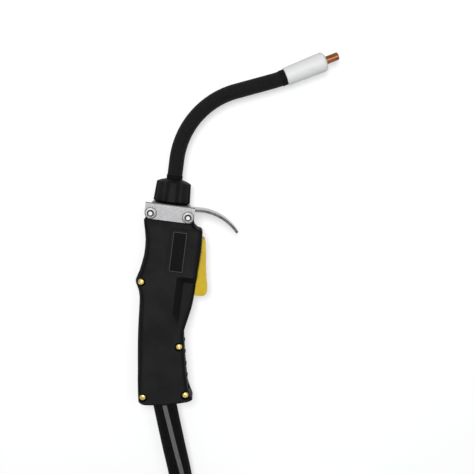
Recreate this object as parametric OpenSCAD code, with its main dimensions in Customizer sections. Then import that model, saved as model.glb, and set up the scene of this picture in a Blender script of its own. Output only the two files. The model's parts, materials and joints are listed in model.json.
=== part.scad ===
// Welding torch for a wire feeder, lying on its side, with its cable coiled behind it.
// Gun axes: the neck's foot runs along +Y, the trigger faces +X, and the two handle
// halves part at the gun's mid plane. The last section moves the whole gun so that
// the origin is under its middle, on the surface that it lies on.

/* [Contact tip] */
// Outside diameter of the contact tip
tip_d = 7.94; // [7:0.01:9]
// Length of the tip outside its holder
tip_len = 23.4; // [20:0.1:30]
// Diameter of the wire bore
wire_bore_d = 1.2; // [0.8:0.1:2]
// Diameter of the tip's shank
tip_shank_d = 6; // [5:0.1:6.4]
// Length of the tip's shank
tip_shank_len = 11; // [8:0.5:11.5]

/* [Nozzle insulator] */
// Rear diameter of the insulator
insulator_rear_d = 17.8; // [17:0.1:19]
// Front diameter of the insulator
insulator_front_d = 19.4; // [18:0.1:21]
// Length of the insulator
insulator_len = 42; // [38:0.5:46]
// Length of the front wall round the tip
insulator_lip = 9; // [5:0.5:9.5]
// Chamfer at the insulator's front edge
insulator_chamfer = 2.4; // [0.5:0.1:3.5]
// Diameter of the tip holder
holder_d = 13.6; // [13:0.1:14.4]

/* [Neck] */
// Height of the neck's straight foot over the gun's zero line
neck_foot = 41.3; // [38:0.1:60]
// Radius of the main bend at the neck's centre line
neck_bend_r = 80; // [60:1:100]
// Angle of the main bend
neck_bend = 67.3; // [45:0.1:70]
// Distance from the foot's axis to the neck's front end
neck_reach = 94.9; // [85:0.1:110]
// Radius of the small reverse bend
neck_reverse_r = 123; // [80:1:160]
// Angle of the small reverse bend
neck_reverse = 6.5; // [2:0.1:12]
// Outside diameter of the braided jacket
jacket_d = 14.8; // [13.4:0.1:15]
// Outside diameter of the conductor tube
conductor_d = 10; // [9:0.1:10.4]
// Bore of the conductor tube
conductor_bore = 5.2; // [5:0.1:6]
// Outside diameter of the wire liner
liner_d = 4.8; // [4:0.1:4.9]
// Bore of the wire liner
liner_bore = 2.2; // [1.6:0.1:2.8]
// Diameter of the collar above the nut
collar_d = 15.8; // [15.4:0.1:17]
// Length of the collar above the nut
collar_len = 3.8; // [2:0.1:8]
// Diameter of the crimp ring at the front end
end_ring_d = 15.8; // [15.6:0.1:17]
// Length of the crimp ring
end_ring_len = 4.6; // [3:0.1:8]

/* [Neck nut] */
// Diameter of the nut at its foot
nut_foot_d = 36.2; // [33:0.1:38]
// Diameter of the nut at its rim
nut_rim_d = 33.8; // [31:0.1:36]
// Height of the nut's fluted wall
nut_wall_h = 21.4; // [17:0.1:24]
// Height of the nut's domed top over the wall
nut_dome_h = 2.6; // [1:0.1:4]
// Number of flutes
nut_flutes = 8; // [6:1:10]
// Depth of the flutes
nut_flute_depth = 1.5; // [0.5:0.1:2]
// Radius of the flutes
nut_flute_r = 5; // [3:0.1:7]
// Diameter of the socket's threaded barrel
barrel_d = 24; // [22:0.1:25]
// Height of the barrel over the bracket
barrel_h = 13.5; // [10:0.1:15]

/* [Shield bracket] */
// Thickness of the bracket's sheet metal
sheet_t = 1.6; // [1.2:0.1:2.8]
// Left edge of the bracket from the neck's axis
bracket_left = 24.2; // [23:0.1:26]
// Right edge of the bracket from the neck's axis
bracket_right = 24; // [23.4:0.1:27]
// Height of the bracket's side flaps
bracket_h = 15.7; // [15:0.1:20]
// Distance between the two bracket screws
bracket_screw_span = 36.2; // [35:0.1:38]
// Distance of the bracket screws below the bracket's top
bracket_screw_drop = 10.1; // [9.4:0.1:11]
// Diameter of the bracket screws
bracket_screw_d = 5; // [4:0.1:5.4]
// Diameter of the washers
washer_d = 11.6; // [10:0.1:12]
// Thickness of the washers
washer_t = 1; // [0.6:0.1:1.6]
// Width of the hex nuts across their flats
hex_flats = 8.6; // [8:0.1:9.4]
// Height of the hex nuts
hex_h = 3.6; // [3:0.1:5]
// Height of the screw heads on the far side
screw_head_h = 2.6; // [2:0.1:3.5]

/* [Hand shield] */
// Width of the curved strip
shield_w = 30; // [26:1:36]
// Thickness of the strip
shield_t = 2.6; // [1.5:0.1:3]
// Distance from the neck's axis to the start of the curve
shield_flat = 24.2; // [24:0.1:30]
// Radius of the curve at the middle of the sheet
shield_r = 48.8; // [40:0.1:70]
// Angle of the curve
shield_angle = 57; // [30:1:65]
// Angle at which the strip rises where it leaves the bracket
shield_lift = 7.8; // [0:0.1:12]

/* [Handle] */
// Length of the handle from its top to its heel
handle_len = 198; // [180:0.1:220]
// Half of the handle's thickness
handle_half = 19; // [18:0.1:21]
// Half thickness in the finger scoop under the switch block
scoop_half = 13; // [12.5:0.1:15]
// Wall thickness at the handle's sides
wall = 3; // [2.4:0.1:3.4]
// Radius of the long edges
edge_r = 6; // [4:0.1:7]
// Width of the broad rounding along the back of the hand
flank_w = 7.5; // [6:0.1:8]
// Height of the broad rounding along the back of the hand
flank_h = 13; // [6:0.5:14]
// Height of the raised switch block over the faces
pad_h = 0.6; // [0.3:0.1:1.2]
// Height of the label frame over the block
frame_h = 0.4; // [0.2:0.1:0.8]
// Width of the label plate
label_w = 14; // [10:0.1:15]
// Length of the label plate
label_len = 40; // [30:0.1:41]
// Diameter of the handle screws
handle_screw_d = 3.5; // [3:0.1:4]
// Diameter of the handle screws' heads
handle_head_d = 6.5; // [6:0.1:7.4]
// Diameter of the wells round the screw heads
screw_well_d = 8.8; // [8.4:0.1:9.2]
// Number of ribs on the grip's finger side
grip_ribs = 5; // [3:1:5]
// Distance from rib to rib
grip_rib_pitch = 12; // [8:0.5:12.5]
// Height of the ribs over the grip
grip_rib_h = 1; // [0.5:0.1:1.5]

/* [Trigger and switch] */
// Width of the trigger
trigger_w = 16; // [14:0.1:17]
// Angle that the trigger swings through
trigger_travel = 6; // [3:0.1:6]
// Diameter of the trigger's pin
trigger_pin_d = 3; // [2.5:0.1:3.6]
// Thickness of the switch body
switch_t = 10; // [8:0.1:10.4]
// Diameter of the switch plunger
plunger_d = 3; // [2:0.1:4]

/* [Power connection] */
// Width of the brass block
block_w = 20; // [17:0.5:22]
// Length of the brass block
block_len = 25.6; // [24:0.1:27]
// Diameter of the copper conductor
core_d = 9; // [7:0.1:9.4]

/* [Cable] */
// Outside diameter of the cable
cable_d = 23.5; // [18:0.5:24]
// Angle at which the cable leaves the handle, from the neck's axis
cable_angle = 18.4; // [17:0.1:20]
// Length of the jacketed cable held in the handle
cable_held = 40; // [36:0.5:42]
// Width of the clamp ring
clamp_w = 12; // [8:0.5:16]

/* [Rear connector] */
// Diameter of the connector's housing
housing_d = 36; // [32:0.5:36]
// Length of the connector's housing
housing_len = 70; // [68:0.5:72]
// Length of the strain relief boot
boot_len = 50; // [45:0.5:52]
// Diameter of the coupling nut
coupling_d = 44; // [42:0.5:46]
// Length of the coupling nut
coupling_len = 28; // [24:0.5:32]
// Diameter of the central wire pin
plug_pin_d = 11; // [10:0.1:11.6]
// Length of the central wire pin in front of its carrier
plug_pin_len = 26; // [20:0.5:30]
// Diameter of the control pins
control_pin_d = 4; // [3:0.1:4.4]
// Travel of the control pins
control_travel = 2; // [1:0.1:3]

/* [Fits] */
// Radial clearance of pins, shafts and threads
fit = 0.05; // [0.02:0.01:0.1]
// Clearance between faces that only lie beside each other
gap = 0.2; // [0.1:0.05:0.3]

/* [Hidden] */
$fn = 48;
eps = 0.01;
over = 1;

function smooth(t) = let (c = max(0, min(1, t))) c * c * (3 - 2 * c);
function mix(a, b, t) = a + (b - a) * t;

// Neck centre line: its corners, and headings measured from +Y towards +X
function heading(a) = [sin(a), cos(a)];
function left_of(a) = [-cos(a), sin(a)];
nozzle_heading = neck_bend - neck_reverse;
neck_mid = (neck_reach - neck_bend_r * (1 - cos(neck_bend))
    - neck_reverse_r * (cos(nozzle_heading) - cos(neck_bend))) / sin(neck_bend);
bend_end = [0, neck_foot] + neck_bend_r * [1 - cos(neck_bend), sin(neck_bend)];
reverse_start = bend_end + neck_mid * heading(neck_bend);
nozzle_root = reverse_start + neck_reverse_r * (left_of(neck_bend) - left_of(nozzle_heading));
bend_steps = 14;
reverse_steps = 3;
neck_sides = 24;

// Places along the nozzle, from the neck's front end
insulator_at = 0.6;
holder_at = 0.5;
holder_front = insulator_at + insulator_len - insulator_lip - over;
tube_nose = 8;
tip_end = holder_front + gap + tip_len;
tip_chamfer = 0.8;

// Places along the neck's foot. The gun's zero line is a little above the bracket
bracket_top = -2;
jacket_foot = -2;
block_top = -26.2;
block_foot = block_top - block_len;
tube_foot = -39.5;
socket_foot = -25.9;
flange_top = -9.4;
flange_h = 4;
flange_d = barrel_d + 4.4;
collar_at = bracket_top + nut_wall_h + nut_dome_h + 0.5;
nut_foot_edge = 2.4;

// Shield stack over the handle's top
strip_top = bracket_top - sheet_t - 0.1;
handle_top = strip_top - shield_t - 0.1;
top_wall_foot = flange_top + gap;
plate_half = 18.8;
plate_cut = 5;
bracket_half = handle_half + gap;
bracket_out = bracket_half + sheet_t;
lie_h = bracket_out + screw_head_h;
screw_x = [-bracket_screw_span / 2, bracket_screw_span / 2];
shield_steps = 16;

// Handle outline from top to bottom, as drawn. Each row is a slanting station across
// the handle: y and x of its left edge, y and x of its right edge, and 1 where the
// finger scoop is at its full depth
drawn_stations = [
    [handle_top, -22.4, handle_top, 23.2, 0],
    [-17.4, -23.0, -17.8, 24.4, 0],
    [-19.8, -24.4, -20.2, 25.6, 0],
    [-23.7, -23.8, -22.6, 28.6, 0],
    [-27.6, -23.0, -23.6, 32.8, 0],
    [-31.5, -22.2, -25.6, 34.0, 0],
    [-39.4, -20.9, -33, 34.3, 0],
    [-47, -20.4, -44, 34.8, 0],
    [-55, -20.5, -55, 34.5, 0],
    [-63.5, -21.7, -64, 34.2, 0],
    [-70.6, -23.0, -70.6, 34.1, 0],
    [-72.2, -23.4, -72.2, 34.1, 0.35],
    [-76.8, -24.8, -77, 34.0, 1],
    [-79.4, -25.6, -81, 34.0, 1],
    [-81.3, -25.8, -85, 34.0, 1],
    [-83.4, -25.3, -88.5, 33.8, 1],
    [-86.8, -23.5, -93, 33.5, 1],
    [-90.8, -21.6, -98, 33.1, 1],
    [-97, -20.0, -103, 32.5, 1],
    [-105, -19.3, -111, 31.0, 0.9],
    [-114, -18.75, -119, 29.3, 0.6],
    [-122, -18.25, -125.4, 28.0, 0.25],
    [-130, -17.7, -131, 28.3, 0],
    [-142, -16.65, -143, 30.3, 0],
    [-157, -15.0, -157, 32.9, 0],
    [-170, -13.4, -170, 35.7, 0],
    [-182, -11.8, -181.5, 38.3, 0],
    [-192, -10.2, -187.2, 40.9, 0],
    [-199, -9.1, -191, 42.7, 0],
    [-202.2, -8.5, -193.2, 44.1, 0],
    [-204.4, -6.8, -194.6, 45, 0]];
// The grip, below grip_from, stretches to the handle's length
grip_from = -130;
drawn_heel = -204.4;
heel = handle_top - handle_len;
function grip_y(y) = y > grip_from ? y
    : mix(grip_from, heel, (y - grip_from) / (drawn_heel - grip_from));
stations = [for (s = drawn_stations) [grip_y(s[0]), s[1], grip_y(s[2]), s[3], s[4]]];
end_round = 2.2;
end_bulge = 2.4;
end_bulge_from = heel + 15.8;
end_bulge_to = heel + end_round;
scoop_step_x = 18;
scoop_step_w = 3.6;
arc_steps = 6;
// The broad rounding fades out over flank_run at both ends
flank_top = -20;
flank_foot = -190;
flank_run = 20;

// Cavity in the handle
cavity_half = handle_half - wall;
scoop_cavity_half = scoop_half - wall - gap;
heel_wall = 8.8;
cavity_foot = heel + heel_wall;
scoop_from = -69;
scoop_cavity_x = 14.5;
flank_inset = 3;
boss_r = 3.6;
screw_boss_r = 5;

// Handle screws
drawn_screws = [[-19.4, -80.6], [24.8, -140.9], [-4.4, -196.2], [37, -189.1]];
handle_screws_at = [for (p = drawn_screws) [p[0], grip_y(p[1])]];
head_seat = 16.6;
nut_seat = 12.4;
handle_nut_flats = 6;
handle_nut_h = 2.2;

// Switch block pad and label
pad = [3, -70.8, 29.6, -24.6];
pad_corner = 2.4;
label_at = [12.5, -47];
label_rim = 1;
label_t = 1;
label_sink = 1.2;

// Grip ribs
rib_from = 7.1;
rib_clear = 16;
rib_r = 1.4;
rib_half = 4;
ribs_at = [for (i = [0 : grip_ribs - 1])
    let (y = grip_from - rib_from - i * grip_rib_pitch) if (y > heel + rib_clear) y];

// Trigger, its pin and what it presses
trigger_axis = [29.5, -36];
trigger_hub_r = 3.3;
trigger_slot = [30.4, -91.4, 40, -30.2];
trigger_outer = [[33.8, -31.2], [36.4, -31.9], [37.6, -33.4], [38.3, -36], [40, -46.4],
    [41.4, -58], [43.6, -71], [45.4, -79], [45.8, -83.4], [45, -86.8], [43, -88.9], [40, -89.6]];
trigger_inner_x = 28.5;
trigger_foot = -89.3;
ear_w = 1.5;
ear_top = -82;
ear_foot = -88.4;
plunger_y = -64;
plunger_reach = 26;
switch_box = [12, -76, 23, -52];
switch_pin_x = 15.6;
switch_pins_y = [-55.6, -72.4];
plunger_inset = 17;
pin_reach = handle_half - 1.6;
switch_pin_reach = 12;
terminal_y = [-57.5, -70.5];
terminal_len = 6;
leads_r = 1;
leads_apart = 7.2;
leads_beside = 7;
leads_straight = 6;
leads_turn = -100;

// Cable in the handle: the conductor bends once, then the jacketed end runs straight out
core_bend_r = 60;
held_top = 43.4;
held_start = [core_bend_r * (1 - cos(cable_angle)), heel + held_top];
cable_dir = [sin(cable_angle), -cos(cable_angle)];
cable_exit = held_start + cable_held * cable_dir;
core_bend_y = held_start[1] + core_bend_r * sin(cable_angle);
ferrule_wall = 1;
ferrule_top = -41;
ferrule_foot = -64;
clamp_from = 10;

// Free cable: places of its centre line, x from the foot's axis and y from cord_y, each
// with how far it has sunk or risen
cord_inset = 4.4;
cord_y = heel + cord_inset;
lead_route = [[26, -30, 0.03], [33, -51, 0.15], [40, -71.5, 0.36],
    [45.5, -88.5, 0.55], [54, -108.5, 0.77], [66, -126.5, 0.93]];
tail_route = [[-118.5, -324.5, 0.03], [-131, -301, 0.12],
    [-137, -275, 0.25], [-137, -249, 0.4], [-130.5, -223, 0.57], [-118, -200, 0.72],
    [-100.5, -180, 0.86], [-78.5, -165, 0.95], [-54, -156, 1], [-28, -152.5, 1], [-6, -152.5, 1]];
tube_sides = 8;
cable_straight = 22;
meet_gap = 0.02;

// Coil: layers, turns and the half turn where it climbs
coil_at = [6, -258];
coil_centre = [coil_at[0], cord_y + coil_at[1]];
coil_outer = 139;
coil_pitch = 24.5;
coil_turns = 1.75;
coil_start = 48;
layer_step = 24;
coil_rings = 24;
coil_sides = 6;
coil_climb = 0.5;
tie_angles = [0, 270];
tie_w = 16;
tie_t = 1.2;
tie_corner = 5;
coil_low = cable_d / 2 + gap + tie_t - lie_h;
coil_high = coil_low + layer_step;
plug_over = [-6, -152.5];
plug_at = [plug_over[0], cord_y + plug_over[1], coil_high + cable_d / 2 + gap + housing_d / 2];

function coil_radius(w) = coil_outer - coil_pitch * (coil_turns - abs(w - coil_turns));
function coil_height(w) =
    mix(coil_low, coil_high, smooth((w - coil_turns + coil_climb / 2) / coil_climb));
function coil_point(w) = let (a = coil_start - 360 * w)
    [coil_centre[0] + coil_radius(w) * cos(a), coil_centre[1] + coil_radius(w) * sin(a),
        coil_height(w)];
function coil_heading(w) = let (a = coil_start - 360 * w) [sin(a), -cos(a), 0];
coil_steps = 2 * coil_turns * coil_rings;
coil_points = concat(
    [coil_point(0) - cable_straight * coil_heading(0)],
    [for (i = [0 : coil_steps]) coil_point(i / coil_rings)],
    [coil_point(2 * coil_turns) + cable_straight * coil_heading(2 * coil_turns)]);
lead_points = concat(
    [for (u = [meet_gap, cable_d / 2]) concat(cable_exit + u * cable_dir, [0])],
    [for (p = lead_route) [p[0], cord_y + p[1], p[2] * coil_low]],
    [for (u = [cable_d / 2, meet_gap]) coil_points[0] - u * coil_heading(0)]);
tail_points = concat(
    [for (u = [meet_gap, cable_d / 2]) coil_points[len(coil_points) - 1] + u * coil_heading(2 * coil_turns)],
    [for (p = tail_route) [p[0], cord_y + p[1], mix(coil_high, plug_at[2], p[2])]]);
coil_gap = min([for (i = [0 : len(coil_points) - 1], j = [i + coil_rings / 2 : len(coil_points) - 1])
    norm(coil_points[i] - coil_points[j])]) - cable_d;
echo(str("least gap of the coil to itself, mm: ", coil_gap));

// Radii of the turns that pass under a tie
function turns_at(angle) = [for (i = [0 : 2 * coil_turns + 1])
    let (w = (coil_start - angle) / 360 + i) if (w > 0 && w < 2 * coil_turns) coil_radius(w)];

// Rear connector, lying on the coil and pointing along +X
boot_from = -19;
boot_to = boot_from + boot_len;
boot_small_r = 13.6;
boot_wide_r = 15.4;
boot_collar = 3;
boot_rib_pitch = 7;
boot_rib_w = 3;
boot_rib_h = 1.2;
housing_from = boot_to + gap;
housing_to = housing_from + housing_len;
housing_wall = 2.6;
housing_taper = 5;
groove_from = 9;
groove_w = 6;
groove_depth = 1.4;
core_room_r = 9.6;
carrier_r = 13;
carrier_from = housing_to - 12;
carrier_to = carrier_from + 26;
coupling_from = housing_to + 0.3;
coupling_back = 5;
coupling_bore = 17.2;
coupling_edge = 1.5;
coupling_flutes = 18;
flute_r = 1.8;
flange_from = coupling_from + coupling_back + 0.4;
pin_root = carrier_from - 18;
pin_tip = carrier_to + plug_pin_len;
pin_root_r = plug_pin_d / 2 - 0.3;
core_from = housing_from + 6;
core_socket = 12;
plug_screws_x = [housing_from + 8, housing_to - 16];
plug_screw_r = 1.5;
plug_screw_y = 12.6;
plug_screw_seat = 7;
plug_screw_reach = 6;
plug_well_r = 3;
control_offset = 8.8;
control_well = 14;
control_pin_len = 18;

// Rings of the handle's outside, one per station
function station_half(s) = mix(handle_half, scoop_half, s[4]);
function end_drop(y) =
    end_bulge * max(0, min(1, (end_bulge_from - y) / (end_bulge_from - end_bulge_to)));
function arc_points(x, z, rx, rz, from) = [for (i = [0 : arc_steps])
    let (a = from - 90 * i / arc_steps) [x + rx * cos(a), z + rz * sin(a)]];
function flank_share(y) = max(0, min(1, (flank_top - y) / flank_run, (y - flank_foot) / flank_run));
function station_ring(s, shrink) = let (
        x0 = s[1], x1 = s[3], h = handle_half - shrink, f = station_half(s) - shrink,
        step = min(scoop_step_x, x1 - edge_r - scoop_step_w - 1),
        rx = mix(edge_r, flank_w, flank_share(s[0])),
        rz = mix(edge_r, flank_h, flank_share(s[0])),
        outline = concat([[x0, 0]], arc_points(x0 + rx, h - rz, rx, rz, 180),
            [[step - scoop_step_w, h], [step + scoop_step_w, f]],
            arc_points(x1 - edge_r, f - edge_r, edge_r, edge_r, 90), [[x1, 0]]))
    [for (p = outline) let (u = (p[0] - x0) / (x1 - x0))
        [p[0], mix(s[0], s[2], u) - end_drop(s[0]) * 4 * u * (1 - u), p[1]]];
handle_rings = [for (i = [0 : len(stations) - 1])
    station_ring(stations[i], i == len(stations) - 1 ? end_round : i == 0 ? gap : 0)];

// Move from the gun's axes to the part's own frame
tip_far = nozzle_root + (tip_end - tip_chamfer) * heading(nozzle_heading);
gun_left = min([for (s = stations) s[1]]);
gun_right = tip_far[0] + tip_d / 2 * cos(nozzle_heading);
gun_low = min([for (r = handle_rings, p = r) p[1]]);
gun_high = tip_far[1] + tip_d / 2 * sin(nozzle_heading);
to_origin = [-(gun_left + gun_right) / 2, -(gun_low + gun_high) / 2, lie_h];

module gun() translate(to_origin) children();

// Frames: local +Z runs along the neck's foot, the nozzle, the cable or the connector
module along_neck(y) translate([0, y, 0]) rotate([-90, 0, 0]) children();
module along_nozzle(u) translate([nozzle_root[0], nozzle_root[1], 0])
    rotate([0, 0, -nozzle_heading]) rotate([-90, 0, 0]) translate([0, 0, u]) children();
module along_cable(u) translate([held_start[0], held_start[1], 0])
    rotate([0, 0, cable_angle]) rotate([90, 0, 0]) translate([0, 0, u]) children();
module along_plug(u) translate(plug_at) rotate([0, 90, 0]) translate([0, 0, u]) children();

module ring(outer, inner, height) difference() {
    cylinder(h = height, r = outer);
    translate([0, 0, -over]) cylinder(h = height + 2 * over, r = inner);
}

module hex(flats, height) cylinder(h = height, r = flats / 2 / cos(30), $fn = 6);

// A solid through rings of points, each ring with as many points as the next
module loft(rings) {
    n = len(rings[0]);
    last = len(rings) - 1;
    points = [for (r = rings) each r];
    sides = [for (k = [0 : last - 1], i = [0 : n - 1])
        let (a = k * n + i, b = k * n + (i + 1) % n) each [[a, b, b + n], [a, b + n, a + n]]];
    first_cap = [for (i = [1 : n - 2]) [0, i + 1, i]];
    last_cap = [for (i = [1 : n - 2]) [last * n, last * n + i, last * n + i + 1]];
    polyhedron(points, concat(sides, first_cap, last_cap));
}

// A tube swept along points; the first corner of each ring points down
function tube_rings(points, r, sides) = [for (i = [0 : len(points) - 1])
    let (
        ahead = points[min(i + 1, len(points) - 1)] - points[max(i - 1, 0)],
        d = ahead / norm(ahead),
        side = cross(d, [0, 0, 1]) / norm(cross(d, [0, 0, 1])),
        up = cross(side, d))
    [for (k = [0 : sides - 1]) let (a = -90 - 360 * k / sides)
        points[i] + r * (cos(a) * side + sin(a) * up)]];
module tube(points, r, sides) loft(tube_rings(points, r, sides));

// Places along the neck's centre line: x, y and heading, from a height on its foot to
// past its front end
function neck_places(foot, nose) = concat([[0, foot, 0]],
    [for (i = [0 : bend_steps]) let (a = neck_bend * i / bend_steps)
        [neck_bend_r * (1 - cos(a)), neck_foot + neck_bend_r * sin(a), a]],
    [for (i = [0 : reverse_steps]) let (
            a = neck_bend - neck_reverse * i / reverse_steps,
            c = reverse_start + neck_reverse_r * (left_of(neck_bend) - left_of(a)))
        [c[0], c[1], a]],
    nose > 0 ? [concat(nozzle_root + nose * heading(nozzle_heading), [nozzle_heading])] : []);
function neck_ring(place, r) = [for (k = [0 : neck_sides - 1]) let (t = -360 * k / neck_sides)
    [place[0] + r * cos(t) * cos(place[2]), place[1] - r * cos(t) * sin(place[2]), r * sin(t)]];

// Round pipe along those places
module neck_pipe(outer_d, inner_d, foot, nose) {
    places = neck_places(foot, nose);
    n = neck_sides;
    last = len(places) - 1;
    inside = len(places) * n;
    points = concat([for (p = places) each neck_ring(p, outer_d / 2)],
        [for (p = places) each neck_ring(p, inner_d / 2)]);
    walls = [for (k = [0 : last - 1], i = [0 : n - 1])
        let (a = k * n + i, b = k * n + (i + 1) % n, c = inside + a, d = inside + b)
            each [[a, b, b + n], [a, b + n, a + n], [d, c, c + n], [d, c + n, d + n]]];
    ends = [for (i = [0 : n - 1])
        let (a = i, b = (i + 1) % n, c = inside + a, d = inside + b, far = last * n)
            each [[b, a, c], [b, c, d], [a + far, b + far, d + far], [a + far, d + far, c + far]]];
    polyhedron(points, concat(walls, ends));
}

// ---- front end

module contact_tip() color("peru") gun() along_nozzle(holder_front + gap) rotate_extrude()
    polygon([[wire_bore_d / 2, -tip_shank_len], [tip_shank_d / 2, -tip_shank_len],
        [tip_shank_d / 2, 0], [tip_d / 2, 0], [tip_d / 2, tip_len - tip_chamfer],
        [tip_d / 2 - tip_chamfer, tip_len], [wire_bore_d / 2, tip_len]]);

module tip_holder() color("darkgoldenrod") gun() difference() {
    along_nozzle(holder_at) cylinder(h = holder_front - holder_at, r = holder_d / 2);
    along_nozzle(0) cylinder(h = tube_nose + gap, r = conductor_d / 2 + fit);
    along_nozzle(tube_nose) cylinder(h = holder_front, r = liner_d / 2 + fit);
    along_nozzle(holder_front - tip_shank_len - gap)
        cylinder(h = tip_shank_len + over, r = tip_shank_d / 2 + fit);
}

module nozzle_insulator() color("whitesmoke") gun() difference() {
    along_nozzle(insulator_at) rotate_extrude() polygon([[0, 0],
        [insulator_rear_d / 2 - 0.6, 0], [insulator_rear_d / 2, 0.6],
        [insulator_front_d / 2, insulator_len - insulator_chamfer],
        [insulator_front_d / 2 - insulator_chamfer * 0.6, insulator_len - insulator_chamfer * 0.25],
        [insulator_front_d / 2 - insulator_chamfer, insulator_len], [0, insulator_len]]);
    along_nozzle(0) cylinder(h = insulator_at + insulator_len - insulator_lip, r = holder_d / 2 + fit);
    along_nozzle(0) cylinder(h = tip_end, r = tip_d / 2 + 0.4);
}

module neck_end_ring() color("#161616") gun()
    along_nozzle(-end_ring_len + 0.2) ring(end_ring_d / 2, jacket_d / 2 + gap, end_ring_len);

module neck_jacket() color("#1c1c1c") gun()
    neck_pipe(jacket_d, conductor_d + 2 * fit, jacket_foot, 0);

module neck_tube() color("peru") gun()
    neck_pipe(conductor_d, conductor_bore, tube_foot, tube_nose);

module neck_liner() color("gray") gun()
    neck_pipe(liner_d, liner_bore, tube_foot, holder_front - tip_shank_len - 1);

module neck_collar() color("#161616") gun()
    along_neck(collar_at) ring(collar_d / 2, jacket_d / 2 + fit, collar_len);

module neck_nut() color("#202020") gun() difference() {
    along_neck(bracket_top + 0.1) rotate_extrude() polygon([[0, 0], [nut_foot_d / 2 - nut_foot_edge, 0],
        [nut_foot_d / 2, nut_foot_edge], [nut_rim_d / 2, nut_wall_h - 0.8],
        [nut_rim_d / 2 - 1, nut_wall_h],
        [nut_rim_d / 2 - 4.5, nut_wall_h + nut_dome_h * 0.62],
        [collar_d / 2 + 1, nut_wall_h + nut_dome_h], [0, nut_wall_h + nut_dome_h]]);
    lean = atan((nut_foot_d - nut_rim_d) / 2 / nut_wall_h);
    for (i = [0 : nut_flutes - 1])
        along_neck(bracket_top + nut_foot_edge + gap) rotate([0, 0, 360 * (i + 0.5) / nut_flutes])
            translate([nut_foot_d / 2 - nut_flute_depth + nut_flute_r, 0, 0]) rotate([0, -lean, 0])
                cylinder(h = 2 * nut_wall_h, r = nut_flute_r);
    along_neck(bracket_top - over) cylinder(h = barrel_h + gap + over, r = barrel_d / 2 + fit);
    along_neck(0) cylinder(h = 2 * nut_wall_h, r = jacket_d / 2 + 0.3);
}

module neck_socket() color("darkgoldenrod") gun() difference() {
    union() {
        along_neck(flange_top) cylinder(h = bracket_top + barrel_h - flange_top, r = barrel_d / 2);
        along_neck(flange_top - flange_h) cylinder(h = flange_h, r = flange_d / 2);
        along_neck(socket_foot) cylinder(h = flange_top - socket_foot, r = 9);
    }
    along_neck(jacket_foot - gap) cylinder(h = 2 * barrel_h, r = jacket_d / 2 + fit);
    along_neck(socket_foot - over) cylinder(h = 2 * barrel_h, r = conductor_d / 2 + fit);
}

// ---- guard

module at_bracket_screws() for (x = screw_x)
    translate([x, bracket_top - bracket_screw_drop, 0]) children();

// Outline of a side flap, its lower corners round about the screws
module flap_shape() {
    low = bracket_h - bracket_screw_drop;
    difference() {
        translate([-bracket_left, -bracket_h]) square([bracket_left + bracket_right, bracket_h]);
        for (side = [-1, 1])
            translate([side * bracket_screw_span / 2, -bracket_screw_drop]) difference() {
                translate([side > 0 ? 0 : -4 * low, -4 * low]) square([4 * low, 4 * low]);
                circle(low + 0.3);
            }
    }
}

// The top plate and the top of the far flap are narrower than the near flap
module shield_bracket() color("silver") gun() difference() {
    translate([0, bracket_top, 0]) union() {
        difference() {
            translate([-bracket_left, -sheet_t, -bracket_out + sheet_t])
                cube([bracket_left + bracket_right, sheet_t, 2 * (bracket_out - sheet_t)]);
            along_neck(-sheet_t - over) cylinder(h = sheet_t + 2 * over, r = barrel_d / 2 + gap);
        }
        for (side = [0, 1]) mirror([0, 0, side]) difference() {
            translate([0, 0, bracket_half]) linear_extrude(sheet_t) flap_shape();
            translate([-2 * bracket_left, -sheet_t, bracket_out - sheet_t]) difference() {
                cube([4 * bracket_left, 2 * sheet_t, 2 * sheet_t]);
                translate([-over, 0, 0]) rotate([0, 90, 0])
                    cylinder(h = 4 * bracket_left + 2 * over, r = sheet_t);
            }
        }
    }
    for (x = [-2 * bracket_left, plate_half])
        translate([x, bracket_top - plate_cut, -2 * bracket_out])
            cube([2 * bracket_left - plate_half, plate_cut + over, 2 * bracket_out + bracket_half]);
    at_bracket_screws() translate([0, 0, -lie_h])
        cylinder(h = 2 * lie_h, r = bracket_screw_d / 2 + fit);
}

// Places along the hand shield's middle: x, y and heading. It is flat under the bracket,
// rises where it leaves it and bends down in one arc
function shield_place(turned) = let (a = 90 - shield_lift + turned,
        c = shield_start + shield_r * (left_of(a) - left_of(90 - shield_lift)))
    [c[0], c[1], a];
shield_start = [shield_flat, strip_top - shield_t / 2];
shield_places = concat(
    [[-plate_half, shield_start[1], 90], [shield_flat, shield_start[1], 90 - shield_lift / 2]],
    [for (i = [1 : shield_steps]) shield_place(shield_angle * i / shield_steps)]);
function shield_side(offset) = [for (p = shield_places) [p[0], p[1]] + offset * left_of(p[2])];

module hand_shield() color("silver") gun() difference() {
    linear_extrude(shield_w, center = true) polygon(concat(shield_side(shield_t / 2),
        [for (i = [len(shield_places) - 1 : -1 : 0]) shield_side(-shield_t / 2)[i]]));
    along_neck(strip_top - shield_t - over)
        cylinder(h = shield_t + 2 * over, r = barrel_d / 2 + gap);
}

module bracket_screws() color("gainsboro") gun() at_bracket_screws() {
    top = bracket_out + washer_t + hex_h + 1;
    translate([0, 0, -bracket_out - screw_head_h + eps])
        cylinder(h = top + bracket_out + screw_head_h - eps - 0.5, r = bracket_screw_d / 2);
    translate([0, 0, top - 0.5])
        cylinder(h = 0.5, r1 = bracket_screw_d / 2, r2 = bracket_screw_d / 2 - 0.5);
    difference() {
        translate([0, 0, -bracket_out - screw_head_h])
            cylinder(h = screw_head_h - 0.02, r1 = bracket_screw_d * 0.68, r2 = bracket_screw_d * 0.88);
        translate([0, 0, -bracket_out - screw_head_h - over]) hex(3, 1.4 + over);
    }
}

module bracket_washers() color("gainsboro") gun() at_bracket_screws()
    translate([0, 0, bracket_out + 0.02])
        ring(washer_d / 2, bracket_screw_d / 2 + fit, washer_t - 0.04);

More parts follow.
